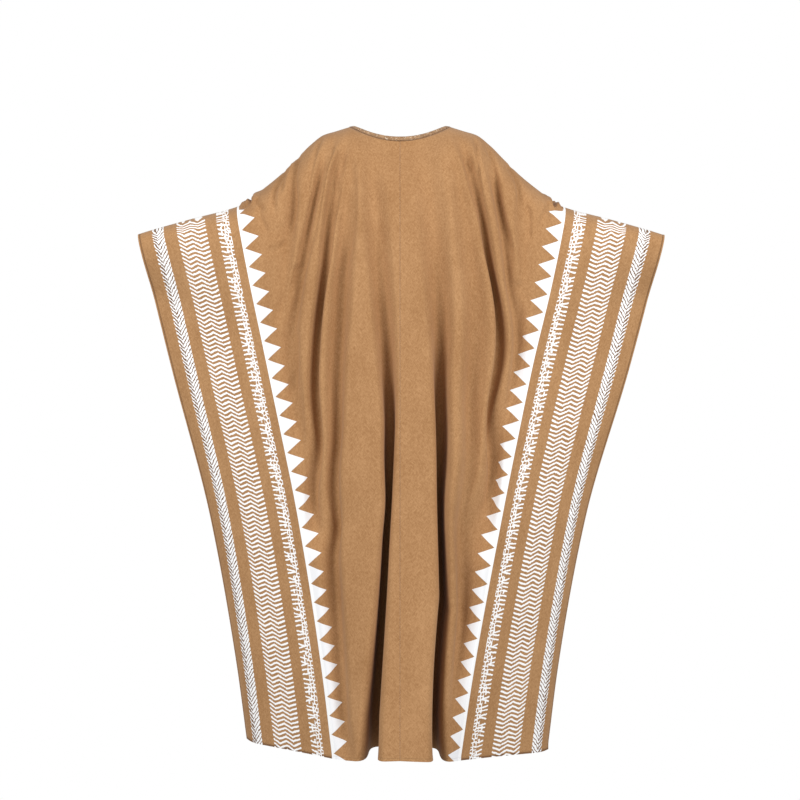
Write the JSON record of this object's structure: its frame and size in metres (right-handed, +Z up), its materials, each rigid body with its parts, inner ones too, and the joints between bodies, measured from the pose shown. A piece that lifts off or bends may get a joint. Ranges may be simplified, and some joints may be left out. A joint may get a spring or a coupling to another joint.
{
  "type": "kaftan",
  "caption": "Loose pull-on kaftan cut as one wide rectangle of cloth, with open neck, cuffs and hem and patterned border panels down both sides, hanging as worn with the arms held out.",
  "frame": {"origin": "middle of the neck opening, at the height where the cloth lies on the wearer's shoulders beside the neck", "axes": "+Z up, -Y towards the wearer's front, +X towards the wearer's left"},
  "size_m": [1.1842, 0.3978, 1.4022],
  "materials": {
    "body_cloth": "matte brushed tan cloth with a short streaky nap",
    "border_cloth": "matte tan cloth woven with white rows of plait, zigzag, cord and triangle",
    "binding_cloth": "heathered brown strip, matte"
  },
  "bodies": {
    "root": {"body_back_left": "body_cloth", "body_back_right": "body_cloth", "body_front_left": "body_cloth", "body_front_right": "body_cloth", "border_back_left": "border_cloth", "border_back_right": "border_cloth", "border_front_left": "border_cloth", "border_front_right": "border_cloth", "neck_binding": "binding_cloth"}
  },
  "joints": []
}
